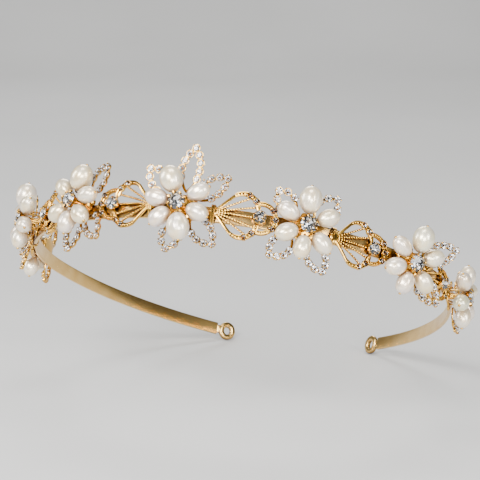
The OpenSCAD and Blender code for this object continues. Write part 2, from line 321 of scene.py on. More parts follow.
def disc_section(radius, sides):
    turns = np.arange(sides) * 2 * math.pi / sides
    return np.stack([radius * np.cos(turns), radius * np.sin(turns)], 1)


def wire(path, radius, sides=8, closed=False):
    return sweep(path, disc_section(radius, sides), closed)


def round_rect(width, height, corner, steps=4):
    """Outline of a rectangle with round corners, centred."""
    points = []
    for quarter in range(4):
        sx, sy = ((1, 1), (-1, 1), (-1, -1), (1, -1))[quarter]
        for i in range(steps + 1):
            turn = math.radians(90 * (quarter + i / steps))
            points.append((sx * (width / 2 - corner) + corner * math.cos(turn),
                           sy * (height / 2 - corner) + corner * math.sin(turn)))
    return points


def inset(outline, by):
    """Outline moved inwards. The outline runs anticlockwise."""
    outline = np.asarray(outline, float)
    along = np.roll(outline, -1, 0) - np.roll(outline, 1, 0)
    along /= np.linalg.norm(along, axis=1)[:, None]
    return outline + by * np.stack([-along[:, 1], along[:, 0]], 1)


def slab(outline, low, high, edge):
    """An outline given thickness, with rounded edges."""
    loops, soft = [], 0.3 * edge
    for inwards, z in ((edge, low), (soft, low + soft), (0, low + edge),
                       (0, high - edge), (soft, high - soft), (edge, high)):
        flat = inset(outline, inwards)
        loops.append(at_height(flat, z))
    return rings(loops)


def arc(centre, radius, start, end, steps):
    """Points of an arc between two turns in degrees."""
    turns = np.radians(np.linspace(start, end, steps))
    return np.stack([centre[0] + radius * np.cos(turns), centre[1] + radius * np.sin(turns)], 1)


def at_height(flat, z):
    """Flat points, all lifted to one height."""
    flat = np.asarray(flat, float)
    return np.column_stack([flat, np.full(len(flat), z)])


# ---- pieces ----

class Piece:
    """Shapes gathered into one object. Each shape may bring a tone, a number its material reads."""

    def __init__(self):
        self.points, self.faces, self.slots, self.tones, self.count = [], [], [], [], 0

    def add(self, part, matrix=None, tone=0.5):
        points, faces, slots = part
        matrix = np.eye(4) if matrix is None else matrix
        self.points.append(points @ matrix[:3, :3].T + matrix[:3, 3])
        step = -1 if np.linalg.det(matrix[:3, :3]) < 0 else 1
        self.faces += [[i + self.count for i in face[::step]] for face in faces]
        self.slots += slots
        self.tones.append(np.full(len(points), tone))
        self.count += len(points)

    def shape(self):
        """All that was added, as one shape that another piece can take."""
        return np.vstack(self.points), self.faces, self.slots

    def build(self, name, materials, sharp=35):
        """The finished object. Edges sharper than this many degrees stay crisp."""
        mesh = bpy.data.meshes.new(name)
        mesh.from_pydata((np.vstack(self.points) * MM).tolist(), [], self.faces)
        for material in materials:
            mesh.materials.append(material)
        mesh.polygons.foreach_set("material_index", self.slots)
        tone = mesh.attributes.new("tone", "FLOAT", "POINT")
        tone.data.foreach_set("value", np.concatenate(self.tones).astype(np.float32))
        mesh.shade_smooth()
        mesh.set_sharp_from_angle(angle=math.radians(sharp))
        mesh.update()
        piece = bpy.data.objects.new(name, mesh)
        bpy.context.scene.collection.objects.link(piece)
        return piece


def stand_in(piece, node):
    """The piece takes a CAD node's place and rides on its body."""
    body = frame["nodes"][node]["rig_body"]
    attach(piece, body)
    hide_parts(node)


# ---- materials ----

MIX_COLOUR_A, MIX_COLOUR_B, MIX_COLOUR_RESULT = 6, 7, 2    # sockets of a mix node set to colours

# Colours of painted shade where other surfaces lie close: a dark brown for gold, and for pearls a warm
# tone that also paints the gold reflected between them.
GOLD_PAINTED_SHADE, PEARL_PAINTED_SHADE = (0.13, 0.07, 0.025), (0.45, 0.30, 0.13)
PEARL_BODIES = (
    (0.0, (0.84, 0.71, 0.45)), (0.25, (0.88, 0.79, 0.60)), (0.5, (0.86, 0.73, 0.62)),
    (0.75, (0.90, 0.81, 0.60)), (1.0, (0.76, 0.73, 0.48)),
)
PEARL_OVERTONES = ((0.35, (1.0, 0.92, 0.80)), (0.5, (1.0, 1.0, 1.0)), (0.65, (0.90, 0.90, 1.0)))
GLASS_TINTS = ((0.3, (0.96, 0.97, 1.0)), (0.7, (1.0, 0.99, 0.97)))
FOIL_TINTS = ((0.3, (0.86, 0.89, 0.95)), (0.7, (0.97, 0.97, 0.95)))
PAPER_TINTS = ((0.3, (0.50, 0.497, 0.486)), (0.7, (0.54, 0.536, 0.525)))


def node_kit(name):
    """A new material with its node tree, its main shader and its object coordinates."""
    material = bpy.data.materials.new(name)
    material.use_nodes = True
    tree = material.node_tree
    shader = tree.nodes["Principled BSDF"]
    coords = tree.nodes.new("ShaderNodeTexCoord").outputs["Object"]
    return material, tree, shader, coords


def noise(tree, coords, scale, detail=3.0):
    """Noise in object space. Scale is in features a metre."""
    texture = tree.nodes.new("ShaderNodeTexNoise")
    texture.inputs["Scale"].default_value = scale
    texture.inputs["Detail"].default_value = detail
    tree.links.new(coords, texture.inputs["Vector"])
    return texture.outputs["Fac"]


def ramp(tree, factor, stops):
    """A colour ramp. Stops are (place, colour)."""
    node = tree.nodes.new("ShaderNodeValToRGB")
    elements = node.color_ramp.elements
    while len(elements) < len(stops):
        elements.new(0.5)
    for element, (place, colour) in zip(elements, stops):
        element.position = place
        element.color = (*colour, 1.0)
    tree.links.new(factor, node.inputs["Fac"])
    return node.outputs["Color"]


def spread(tree, factor, low, high):
    """A factor from 0 to 1 as a value from low to high."""
    node = tree.nodes.new("ShaderNodeMapRange")
    node.inputs["To Min"].default_value = low
    node.inputs["To Max"].default_value = high
    tree.links.new(factor, node.inputs["Value"])
    return node.outputs["Result"]


def multiply(tree, first, second):
    """The product of two colours."""
    node = tree.nodes.new("ShaderNodeMix")
    node.data_type = "RGBA"
    node.blend_type = "MULTIPLY"
    node.inputs["Factor"].default_value = 1.0
    tree.links.new(first, node.inputs[MIX_COLOUR_A])
    tree.links.new(second, node.inputs[MIX_COLOUR_B])
    return node.outputs[MIX_COLOUR_RESULT]


def bump(tree, shader, height, depth_mm):
    node = tree.nodes.new("ShaderNodeBump")
    node.inputs["Distance"].default_value = depth_mm * MM
    tree.links.new(height, node.inputs["Height"])
    tree.links.new(node.outputs["Normal"], shader.inputs["Normal"])


def painted_crevice_shade(tree, reach_mm, dark):
    """Painted shade: white in the open, and a darker colour painted where other surfaces lie close and
    shade would fall.
    """
    node = tree.nodes.new("ShaderNodeAmbientOcclusion")
    node.samples = 6
    node.inputs["Distance"].default_value = reach_mm * MM
    return ramp(tree, node.outputs["AO"], ((0.2, dark), (0.85, (1, 1, 1))))


def gold(name, deep, bright, rough, bump_mm, painted_shade_mm, grain=1500):
    """Plated gold: its tone and polish vary, and painted shade darkens it in the crevices."""
    material, tree, shader, coords = node_kit(name)
    tint = ramp(tree, noise(tree, coords, scale=260), ((0.3, deep), (0.7, bright)))
    # painted shade: the gold's colour is darkened where other surfaces lie close, in crevices and
    # under parts
    shade = painted_crevice_shade(tree, painted_shade_mm, GOLD_PAINTED_SHADE)
    tree.links.new(multiply(tree, tint, shade), shader.inputs["Base Color"])
    shader.inputs["Metallic"].default_value = 1.0
    fine = noise(tree, coords, grain, detail=4.0)
    tree.links.new(spread(tree, fine, *rough), shader.inputs["Roughness"])
    bump(tree, shader, fine, bump_mm)
    return material


def nacre():
    """Freshwater pearl: cream with rose, green and grey overtones under a soft clear lustre."""
    material, tree, shader, coords = node_kit("nacre")
    tone = tree.nodes.new("ShaderNodeAttribute")
    tone.attribute_name = "tone"
    body = ramp(tree, tone.outputs["Fac"], PEARL_BODIES)
    cloud = noise(tree, coords, scale=380, detail=2.0)
    tinted = multiply(tree, body, ramp(tree, cloud, PEARL_OVERTONES))
    # painted shade and painted reflection: a warm brown painted where pearls lie close to each other
    # and to the gold
    shade = painted_crevice_shade(tree, reach_mm=3.5, dark=PEARL_PAINTED_SHADE)
    tree.links.new(multiply(tree, tinted, shade), shader.inputs["Base Color"])
    tree.links.new(spread(tree, cloud, low=0.24, high=0.38), shader.inputs["Roughness"])
    bump(tree, shader, noise(tree, coords, scale=1500, detail=2.0), depth_mm=0.012)
    shader.inputs["Metallic"].default_value = 0.5
    shader.inputs["Subsurface Weight"].default_value = 0.1
    shader.inputs["Subsurface Radius"].default_value = (1.0, 0.8, 0.6)
    shader.inputs["Subsurface Scale"].default_value = 0.8 * MM
    shader.inputs["Coat Weight"].default_value = 0.8
    shader.inputs["Coat Roughness"].default_value = 0.1
    shader.inputs["Specular IOR Level"].default_value = 0.6
    return material


def crystal():
    """Clear leaded glass. Its facets are real, so it stays perfectly smooth."""
    material, tree, shader, coords = node_kit("crystal")
    veil = noise(tree, coords, scale=300)
    tree.links.new(ramp(tree, veil, GLASS_TINTS), shader.inputs["Base Color"])
    shader.inputs["Transmission Weight"].default_value = 1.0
    shader.inputs["Roughness"].default_value = 0.0
    shader.inputs["IOR"].default_value = 1.58
    return material


def foil(name, glow):
    """The silver foil on the back of a crystal. A faint glow stands in for light from all round."""
    material, tree, shader, coords = node_kit(name)
    veil = noise(tree, coords, scale=900)
    tree.links.new(ramp(tree, veil, FOIL_TINTS), shader.inputs["Base Color"])
    shader.inputs["Metallic"].default_value = 1.0
    shader.inputs["Roughness"].default_value = 0.05
    shader.inputs["Emission Color"].default_value = (0.93, 0.96, 1.0, 1.0)
    shader.inputs["Emission Strength"].default_value = glow
    return material


# painted_shade_mm is how far off another surface still paints shade; the strip's wide reach paints a
# shadow on it behind the ornaments
STRIP_GOLD = gold("gold_strip", deep=(0.74, 0.46, 0.14), bright=(0.84, 0.56, 0.20),
                  rough=(0.2, 0.3), bump_mm=0.004, painted_shade_mm=6, grain=900)
CASTING_GOLD = gold("gold_casting", deep=(0.66, 0.35, 0.05), bright=(0.86, 0.51, 0.10),
                    rough=(0.14, 0.28), bump_mm=0.012, painted_shade_mm=1.6)
SETTING_GOLD = gold("gold_setting", deep=(0.60, 0.32, 0.05), bright=(0.80, 0.47, 0.10),
                    rough=(0.14, 0.26), bump_mm=0.008, painted_shade_mm=2)
WIRE_GOLD = gold("gold_wire", deep=(0.62, 0.34, 0.06), bright=(0.82, 0.50, 0.11),
                 rough=(0.12, 0.24), bump_mm=0.008, painted_shade_mm=2)
NACRE = nacre()
CRYSTAL = crystal()
FOIL = foil("crystal_foil", glow=0.02)
CHAIN_FOIL = foil("chain_foil", glow=0.15)
GLASS_SLOT, FOIL_SLOT = 0, 1


# ---- stones and cups ----

# Proportions of a cut stone. The crown's middle facets meet at CROWN_RISE of its height, and those
# below the girdle at PAVILION_R of its radius and PAVILION_DROP of its depth.
TABLE_SHARE, CROWN_RISE, GIRDLE_SHARE = 0.56, 0.56, 0.04
PAVILION_R, PAVILION_DROP = 0.42, 0.62


def brilliant(radius, girdle, top, foot, folds):
    """A cut stone with a foiled back: table, star, kite and half facets, and the same below."""
    half = math.pi / folds
    crown_r = 0.99 * 0.5 * (1 + TABLE_SHARE) * radius    # just inside halfway from the table's edge
    rows = [
        round_ring(TABLE_SHARE * radius, top, folds),
        round_ring(crown_r, girdle + CROWN_RISE * (top - girdle), folds, half),
        round_ring(radius, girdle, 2 * folds),
        round_ring(radius, girdle - GIRDLE_SHARE * radius, 2 * folds),
        round_ring(PAVILION_R * radius, girdle - PAVILION_DROP * (girdle - foot), folds, half),
        [(0.0, 0.0, foot)],
    ]
    starts = np.cumsum([0] + [len(r) for r in rows])
    t, m, g, h, q, c = starts[:6]
    n = folds
    faces, slots = [list(range(t, t + n))], [GLASS_SLOT]
    for k in range(n):
        nxt, g0, g1, g2 = (k + 1) % n, 2 * k, 2 * k + 1, (2 * k + 2) % (2 * n)
        faces += [[t + k, t + nxt, m + k], [t + k, m + k, g + g0, m + (k - 1) % n],
                  [m + k, g + g0, g + g1], [m + k, g + g1, g + g2],
                  [g + g0, g + g1, h + g1, h + g0], [g + g1, g + g2, h + g2, h + g1]]
        slots += [GLASS_SLOT] * 6
        faces += [[q + k, h + g0, h + g1], [q + k, h + g1, h + g2],
                  [c, q + (k - 1) % n, h + g0, q + k]]
        slots += [FOIL_SLOT] * 3
    return shape(np.vstack(rows), faces, slots)


def prong(foot_r, foot_z, top_r, top_z, tip_r, radius):
    """A claw in the XZ plane that climbs a cup's side and hooks over the stone.

    It comes as the bar, the ball at its tip and the ball's place.
    """
    bend = (top_z - foot_z) * 0.22
    path = [(foot_r, 0, foot_z), (0.5 * (foot_r + top_r), 0, 0.5 * (foot_z + top_z)),
            (top_r, 0, top_z - bend), (0.55 * top_r + 0.45 * tip_r, 0, top_z - 0.2 * bend),
            (tip_r, 0, top_z - 0.35 * bend)]
    return wire(path, radius, 6), bead(1.25 * radius, 8), shift(tip_r, 0, top_z - 0.35 * bend)


def small_cup():
    """A chain cup: a turned bowl with a thin rim and four little claws."""
    cup = Piece()
    cup.add(lathe([(0, 0.0), (0.62, 0.0), (0.84, 0.1), (0.96, 0.34), (0.98, 0.62), (1.00, 0.70),
                   (0.98, 0.76), (0.92, 0.76), (0.89, 0.70), (0.84, 0.42), (0, 0.30)], 20))
    claw, tip, tip_at = prong(foot_r=0.94, foot_z=0.2, top_r=1.0, top_z=1.04, tip_r=0.80, radius=0.14)
    for k in range(4):
        around = turned(math.radians(45 + 90 * k))
        cup.add(claw, around)
        cup.add(tip, around @ tip_at)
    return cup.shape()


SMALL_CUP = small_cup()
SMALL_STONE = brilliant(STONE_R, girdle=0.74, top=STONE_TOP, foot=0.34, folds=6)


# ---- headband ----

def strip_mesh(name, start, end):
    """The strip between two lengths, with rounded edges."""
    count = int(abs(end - start) / STRIP_STEP)
    section = round_rect(BAND_T, BAND_W, STRIP_CORNER)
    loops = []
    for s in np.linspace(start, end, count + 1):
        place = on_band(s, 0, 0)
        loops.append([place[:3, 3] + a * place[:3, 2] + u * place[:3, 1] for a, u in section])
    piece = Piece()
    piece.add(rings(loops))
    return piece.build(name, [STRIP_GOLD], sharp=50)


def eyelet():
    """The flat round eye at the end of an arm and its neck, with softened edges."""
    part = Piece()
    edge, half = 0.22, EYELET_T / 2
    profile = [(EYELET_HOLE_R + edge, -half), (EYELET_R - edge, -half), (EYELET_R, edge - half),
               (EYELET_R, half - edge), (EYELET_R - edge, half), (EYELET_HOLE_R + edge, half),
               (EYELET_HOLE_R, half - edge), (EYELET_HOLE_R, edge - half)]
    eye = rings([round_ring(r, z, 48) for r, z in profile], closed=True)
    part.add(eye, shift(NECK_REACH))
    neck_start, neck_end = -0.5, NECK_REACH - EYELET_HOLE_R - 0.4
    neck = round_rect(neck_end - neck_start, NECK_W, corner=0.3)
    part.add(slab(neck, -FACE, FACE, edge=0.2), shift((neck_start + neck_end) / 2))
    return part.shape()


def make_headband():
    front = strip_mesh("strip_front", -FLEX_FROM, FLEX_FROM)
    stand_in(front, "band_front")
    for side, sign in (("left", -1), ("right", 1)):
        arm = strip_mesh(f"strip_arm_{side}", sign * FLEX_FROM, sign * ARM_REACH)
        ends = [Vector(on_band(sign * s, 0, 0)[:3, 3] * MM) for s in (FLEX_FROM, FLEX_TO)]
        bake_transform(arm)
        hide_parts(f"band_arm_{side}")
        ring = Piece()
        place = on_band(sign * ARM_REACH, 0, 0) @ (MIRROR_X if sign < 0 else np.eye(4))
        ring.add(eyelet(), place)
        eye = ring.build(f"eyelet_{side}", [STRIP_GOLD], sharp=50)
        stand_in(eye, f"end_ring_{side}")


# ---- flowers ----

def lean_rise(lean):
    """How far a leaning flower is raised, so that its plate clears the strip."""
    down, along = np.radians(lean)
    return (PLATE_R + LOBE_R) * math.sqrt(1 - (math.cos(down) * math.cos(along)) ** 2)


def on_row(place):
    """A place along the row of ornaments, counted in flowers from the centre one."""
    s = place * FLOWER_PITCH
    return on_band(s, lift(s))


def on_flower(flower):
    down, along = np.radians(flower.lean)
    return (on_row(flower.place) @ shift(z=lean_rise(flower.lean)) @ turned(down, "X")
            @ turned(along, "Y"))


def pearls(flower):
    """Pearls of a flower as (turn in radians, kind)."""
    return ([(math.radians(turn), LARGE) for turn in flower.large]
            + [(math.radians(turn), SMALL) for turn in flower.small])


def at_pearl(turn, kind):
    """Local X runs outwards along the pearl, from the flower's middle."""
    return turned(turn) @ shift(z=kind["h"])


def pearl(kind):
    """A rice pearl: an egg with shallow flats and two creases along it, drilled from end to end."""
    around, along = 48, 26
    half_len, half_wide = kind["l"] / 2, kind["d"] / 2
    egg, bow = rng.uniform(0.04, 0.11), rng.uniform(-0.05, 0.05)
    turns = np.arange(around) * 2 * math.pi / around
    radius = np.ones(around)
    for waves in (2, 3, 5):
        deep, phase = rng.uniform(0.008, 0.022), rng.uniform(0, 2 * math.pi)
        radius -= 0.5 * deep * (1 + np.cos(waves * turns + phase))
    for _ in range(2):
        away = (turns - rng.uniform(-0.9, 0.9) + math.pi) % (2 * math.pi) - math.pi
        deep, wide = rng.uniform(0.015, 0.035), rng.uniform(0.08, 0.16)
        radius -= deep * np.exp(-(away / wide) ** 2)
    end = math.asin(DRILL_R / half_wide)
    loops = []
    for roll in np.linspace(-math.pi / 2 + end, math.pi / 2 - end, along):
        x, waist = half_len * math.sin(roll), math.cos(roll)
        wide = half_wide * waist * (1 - egg * 0.5 * (1 - math.sin(roll)))
        radii = np.maximum(wide * (1 - (1 - radius) * waist ** 0.5), DRILL_R)
        loops.append(np.stack([np.full(around, x), radii * np.sin(turns) + bow * waist,
                               radii * np.cos(turns)], 1))
    inside = 0.15
    hole = [np.stack([np.full(around, x), DRILL_R * np.sin(turns), DRILL_R * np.cos(turns)], 1)
            for x in (loops[-1][0][0] - inside, loops[0][0][0] + inside)]
    return rings(loops + hole, closed=True)


def make_pearls(flower):
    piece = Piece()
    for turn, kind in pearls(flower):
        place = on_flower(flower) @ at_pearl(turn, kind) @ shift(kind["ring"])
        piece.add(pearl(kind), place, tone=rng.uniform(0, 1))
    node = f"{flower.name}_pearls"
    stand_in(piece.build(f"{node}_nacre", [NACRE], sharp=80), node)


def make_plate(flower):
    """A scalloped disc with softened edges, and the post that holds the setting."""
    outline = []
    for turn in np.radians(np.arange(0, 360, 4)):
        reach = PLATE_R
        for lobe_turn, _ in pearls(flower):
            off = turn - lobe_turn
            inside = LOBE_R ** 2 - (PLATE_R * math.sin(off)) ** 2
            if inside > 0 and math.cos(off) > 0:
                reach = max(reach, PLATE_R * math.cos(off) + math.sqrt(inside))
        outline.append((reach * math.cos(turn), reach * math.sin(turn)))
    piece = Piece()
    piece.add(slab(outline, 0, PLATE_T, edge=0.15), on_flower(flower))
    post = [(0, 0.1), (POST_R, 0.1), (POST_R, PLATE_T), (0.8, 0.9), (POST_WAIST, 1.4),
            (POST_WAIST, 3.4), (POST_R, 3.8), (POST_R, POST_TOP), (0, POST_TOP)]
    piece.add(lathe(post, 24), on_flower(flower))
    rise = lean_rise(flower.lean)
    if rise > 0:
        foot = [(0, 0), (POST_R, 0), (POST_WAIST, 0.3), (POST_WAIST, rise), (0, rise + PLATE_T / 2)]
        piece.add(lathe(foot, 24), on_row(flower.place))
    node = f"{flower.name}_plate"
    stand_in(piece.build(f"{node}_cast", [CASTING_GOLD]), node)


def petal_arc(petal):
    """Length of a petal, radius of its two arcs and half the turn of each."""
    length = petal[1] - PETAL_ROOT
    radius = (length * length / 4 + PETAL_HALF_W ** 2) / (2 * PETAL_HALF_W)
    return length, radius, math.asin(length / 2 / radius)


def petal_point(petal, turn, side):
    """The point at a turn along one of the petal's two arcs, which are sides 1 and -1."""
    length, radius, _ = petal_arc(petal)
    out = radius * math.cos(turn) - radius + PETAL_HALF_W
    return length / 2 + radius * math.sin(turn), side * out


def cup_spots(petal):
    """Places of the cups from the tip towards the root, and the heading of the chain there."""
    _, radius, half_turn = petal_arc(petal)
    per_side = round(2 * radius * half_turn / CUP_PITCH)
    spots = []
    for side in (1, -1):
        for i in range(0 if side == 1 else 1, per_side):
            turn = half_turn - 2 * half_turn * i / per_side
            x, y = petal_point(petal, turn, side)
            if x > PETAL_COVER - PETAL_ROOT:
                spots.append((x, y, 0 if i == 0 else -side * turn))
    return spots


def at_petal(petal):
    """Local X runs outwards along the petal, from its root."""
    root = shift(PETAL_ROOT, 0, PETAL_BASE)
    return turned(math.radians(petal[0])) @ root @ turned(-PETAL_RISE, "Y")


def petal_rail(petal):
    """The chain's gold backing: a flat loop through all the cups."""
    _, _, half_turn = petal_arc(petal)
    turns = np.linspace(-half_turn, half_turn, 22)
    there = [petal_point(petal, t, 1) for t in turns]
    back = [petal_point(petal, t, -1) for t in turns[::-1]]
    path = at_height(there + back[1:-1], RAIL_T / 2)
    return sweep(path, round_rect(RAIL_W, RAIL_T, corner=0.12, steps=2), closed=True)


def make_petals(flower):
    """The petals of cup chain. Each stone sits in its cup with a spin and a slight tip of its own."""
    cups, stones = Piece(), Piece()
    for petal in flower.petals:
        base = on_flower(flower) @ at_petal(petal)
        cups.add(petal_rail(petal), base)
        for x, y, turn in cup_spots(petal):
            place = base @ shift(x, y) @ turned(turn)
            cups.add(SMALL_CUP, place)
            spin, tip = rng.uniform(0, 1), rng.uniform(-0.06, 0.06)
            stones.add(SMALL_STONE, place @ turned(spin) @ turned(tip, "X"))
    node = f"{flower.name}_petals"
    stand_in(cups.build(f"{node}_chain", [SETTING_GOLD]), node)
    node = f"{flower.name}_petal_stones"
    stand_in(stones.build(f"{node}_cut", [CRYSTAL, CHAIN_FOIL], sharp=1), node)


def make_setting(flower):
    """A fluted cone with eight claws that hook over the crystal."""
    piece, base = Piece(), on_flower(flower)
    steps = 8 * CLAW_COUNT
    turns = np.arange(steps) * 2 * math.pi / steps
    loops = [[(0.0, 0.0, POST_TOP)]]
    for r, z, flute in ((0.8, POST_TOP, 0), (0.95, POST_TOP + 0.15, 0.02),
                        (1.95, SETTING_SHOULDER - 0.25, 0.06), (2.24, SETTING_SHOULDER, 0.06),
                        (2.27, SETTING_RIM - 0.25, 0.03), (2.24, SETTING_RIM - 0.12, 0),
                        (2.0, SETTING_RIM - 0.25, 0), (0.5, CRYSTAL_FOOT_Z - 0.15, 0)):
        radii = r * (1 - flute * (1 + np.cos(CLAW_COUNT * turns)))
        loops.append(np.stack([radii * np.cos(turns), radii * np.sin(turns), np.full(steps, z)], 1))
    loops.append([(0.0, 0.0, CRYSTAL_FOOT_Z - 0.2)])
    piece.add(rings(loops), base)
    claw, tip, tip_at = prong(foot_r=1.4, foot_z=SETTING_SHOULDER - 0.75, top_r=2.42,
                              top_z=6.62, tip_r=1.95, radius=0.23)
    for k in range(CLAW_COUNT):
        around = base @ turned(math.radians((k + 0.5) * 360 / CLAW_COUNT))
        piece.add(claw, around)
        piece.add(tip, around @ tip_at)
    node = f"{flower.name}_claw_setting"
    stand_in(piece.build(f"{node}_claws", [SETTING_GOLD]), node)


def make_crystal(flower):
    piece = Piece()
    stone = brilliant(CRYSTAL_R, SETTING_RIM, CRYSTAL_TABLE_Z, CRYSTAL_FOOT_Z, folds=8)
    piece.add(stone, on_flower(flower) @ turned(rng.uniform(0, 0.4)))
    node = f"{flower.name}_crystal"
    stand_in(piece.build(f"{node}_cut", [CRYSTAL, FOIL], sharp=1), node)


# ---- connectors ----

def on_connector(place):
    """A connector's place. Its knot is towards the centre flower, so the left ones are mirrored."""
    return on_row(place) @ (MIRROR_X if place < 0 else np.eye(4))


def beaded_rib(end):
    """A rib from the knot: a slim arched bar with a row of beads."""
    low, arch, ball_r, ball_step, ball_lift = 0.22, 0.3, 0.35, 0.74, 0.2
    rib = Piece()
    run = np.array(end) - KNOT_AT

    def at(share):
        x, y = KNOT_AT + run * share
        return x, y, low + arch * math.sin(math.pi * min(1.0, share * 1.05))

    rib.add(sweep([at(share) for share in np.linspace(0, 1, 15)],
                  round_rect(RIB_W * 0.7, 0.36, corner=0.12, steps=2)))
    ball, count = bead(ball_r), round(np.linalg.norm(run) / ball_step)
    for k in range(2, count):
        x, y, z = at(k / count)
        rib.add(ball, shift(x, y, z + ball_lift))
    return rib.shape()


def beaded_band(outer, inner):
    """A flat band between two edges with as many points each: raised wires, and beads between."""
    thick, outer_wire_r, inner_wire_r = 0.5, 0.17, 0.15
    band = Piece()
    band.add(slab(np.vstack([outer, inner[::-1]]), 0, thick, edge=0.08))
    wide = np.linalg.norm(outer - inner, axis=1)[:, None]
    inwards = (inner - outer) / wide
    band.add(wire(at_height(outer + 0.15 * inwards, 0.6), outer_wire_r))
    band.add(wire(at_height(inner - 0.13 * inwards, 0.58), inner_wire_r))
    middle = 0.5 * (outer + inner)
    steps = np.linalg.norm(np.diff(middle, axis=0), axis=1)
    run = np.concatenate([[0], np.cumsum(steps)])
    first, last, beside, step = 0.3, run[-1] - 0.2, 0.24, 2.15    # step is in bead radii
    at = first
    while at < last:
        x, y = (np.interp(at, run, middle[:, axis]) for axis in (0, 1))
        radius = 0.5 * np.interp(at, run, wide[:, 0]) - beside
        band.add(bead(radius, 8), shift(x, y, thick) @ scaled(1, 1, 0.9))
        at += step * radius
    return band.shape()


def rim_span(centre, radius):
    """Degrees between which an arc of a side rim runs."""
    return (math.degrees(math.asin((RIM_FROM[1] - centre[1]) / radius)),
            math.degrees(math.acos((RIM_FROM[0] - centre[0]) / radius)))


def side_rim():
    """The crescent on one side of the fan."""
    outer, inner = (arc(centre, radius, *rim_span(centre, radius), 44)
                    for centre, radius in (RIM_OUTER, RIM_INNER))
    return beaded_band(outer, inner)


def loop_end():
    """The round end."""
    spans = [math.degrees(math.acos((LOOP_FROM - LOOP_AT[0]) / radius)) for radius in LOOP_R]
    inner, outer = (arc(LOOP_AT, radius, -span, span, 48) for radius, span in zip(LOOP_R, spans))
    return beaded_band(outer[::-1], inner[::-1])


def collet():
    """A plain tube setting for a rim stone, with four grains that hold it."""
    part = Piece()
    r = RIM_STONE_R
    part.add(lathe([(0, 0.0), (r + 0.10, 0.0), (r + 0.14, 0.3), (r + 0.13, 0.76), (r + 0.07, 0.82),
                    (r + 0.01, 0.78), (r, 0.5), (0, 0.45)], 24))
    grain = bead(0.13, 8)
    for k in range(4):
        turn = math.radians(45 + 90 * k)
        part.add(grain, shift((r - 0.02) * math.cos(turn), (r - 0.02) * math.sin(turn), 0.86))
    return part.shape()


def accent_cup():
    """The deep cup of the accent crystal with six claws."""
    part = Piece()
    r, h = ACCENT_R, ACCENT_CUP_H
    wall = [(0, 0.0), (r - 0.3, 0.0), (r - 0.1, 0.3), (r + 0.05, 0.9), (r + 0.17, h - 0.25)]
    rim = [(r + 0.18, h - 0.06), (r + 0.1, h), (r + 0.02, h - 0.05), (r, h - 0.4), (0, h - 1.1)]
    part.add(lathe(wall + rim, 40))
    claw, tip, tip_at = prong(foot_r=r - 0.02, foot_z=0.7, top_r=r + 0.12, top_z=h + 0.34,
                              tip_r=r - 0.28, radius=0.12)
    for k in range(6):
        around = turned(math.radians(30 + 60 * k))
        part.add(claw, around)
        part.add(tip, around @ tip_at)
    return part.shape()


def knot():
    """The casting's gathered end: a low dome with a collar of beads."""
    part = Piece()
    part.add(lathe([(0, 0.0), (KNOT_R - 0.1, 0.0), (KNOT_R, 0.12), (KNOT_R, 0.6), (KNOT_R - 0.2, 0.85),
                    (0.7, 1.02), (0, KNOT_T)], 32))
    grain, collar_r, collar_z = bead(0.2, 8), 0.95, 0.92
    for k in range(10):
        turn = math.radians(36 * k)
        part.add(grain, shift(collar_r * math.cos(turn), collar_r * math.sin(turn), collar_z))
    return part.shape()


def strut(start, end, width=RIB_W):
    """A plain bar, a little higher in its middle."""
    start, end = np.array(start), np.array(end)
    path = [(*(start + (end - start) * share), 0.36 + 0.15 * math.sin(math.pi * share))
            for share in np.linspace(0, 1, 8)]
    return sweep(path, round_rect(width, 0.5, corner=0.15, steps=2))


def rim_stone_spots():
    """Places of the seven small stones: two on each side rim and three on the round end."""
    spots = [np.array(at) for at in RIM_STONES]
    spots += [np.array((x, -y)) for x, y in RIM_STONES]
    middle = 0.5 * (LOOP_R[0] + LOOP_R[1])
    for turn in np.radians(LOOP_STONE_TURNS):
        spots.append(LOOP_AT + middle * np.array([math.cos(turn), math.sin(turn)]))
    return spots


def connector_parts():
    """All the gold of one connector as (shape, place) pairs."""
    parts = [(knot(), shift(*KNOT_AT)), (loop_end(), np.eye(4)), (accent_cup(), shift(*ACCENT_AT))]
    parts += [(beaded_rib(end), np.eye(4)) for end in RIB_ENDS]
    rim = side_rim()
    for flip in (np.eye(4), MIRROR_Y):
        parts += [(rim, flip), (strut(*STRUT_ENDS), flip), (strut(KNOT_AT, LEG_END, LEG_W), flip)]
    parts += [(collet(), shift(*at)) for at in rim_stone_spots()]
    return parts


CONNECTOR_PARTS = connector_parts()
RIM_STONE = brilliant(RIM_STONE_R - 0.02, girdle=0.76, top=0.94, foot=0.5, folds=6)
ACCENT_STONE = brilliant(ACCENT_R - 0.01, girdle=ACCENT_CUP_H - 0.02, top=ACCENT_CUP_H + 0.45,
                         foot=0.75, folds=8)


def make_connector(name, place):
    base, casting, stones = on_connector(place), Piece(), Piece()
    for part, at in CONNECTOR_PARTS:
        casting.add(part, base @ at)
    for x, y in rim_stone_spots():
        stones.add(RIM_STONE, base @ shift(x, y) @ turned(rng.uniform(0, 1)))
    stones.add(ACCENT_STONE, base @ shift(*ACCENT_AT) @ turned(rng.uniform(0, 1)))
    stand_in(casting.build(f"{name}_casting", [CASTING_GOLD]), f"{name}_frame")
    stand_in(stones.build(f"{name}_cut", [CRYSTAL, FOIL], sharp=1), f"{name}_stones")


# ---- wires ----

def pearl_wire(kind):
    """Up from the plate, round a bend and out through the pearl, with a small head at its end."""
    elbow = kind["ring"] - kind["l"] / 2 - WIRE_BACK
    tip = kind["ring"] + kind["l"] / 2
    bend, head_r = 0.5, 0.4
    path = [(elbow, 0, PLATE_T - 0.1 - kind["h"]), (elbow, 0, -2 * bend), (elbow, 0, -bend)]
    for turn in np.radians((22.5, 45, 67.5, 90)):
        path.append((elbow + bend * (1 - math.cos(turn)), 0, -bend * (1 - math.sin(turn))))
    path.append((tip, 0, 0))
    part = Piece()
    part.add(wire(path, WIRE_R * 0.9, 10))
    part.add(bead(head_r, 12), shift(tip + 0.02) @ scaled(0.75, 1, 1))
    return part.shape()


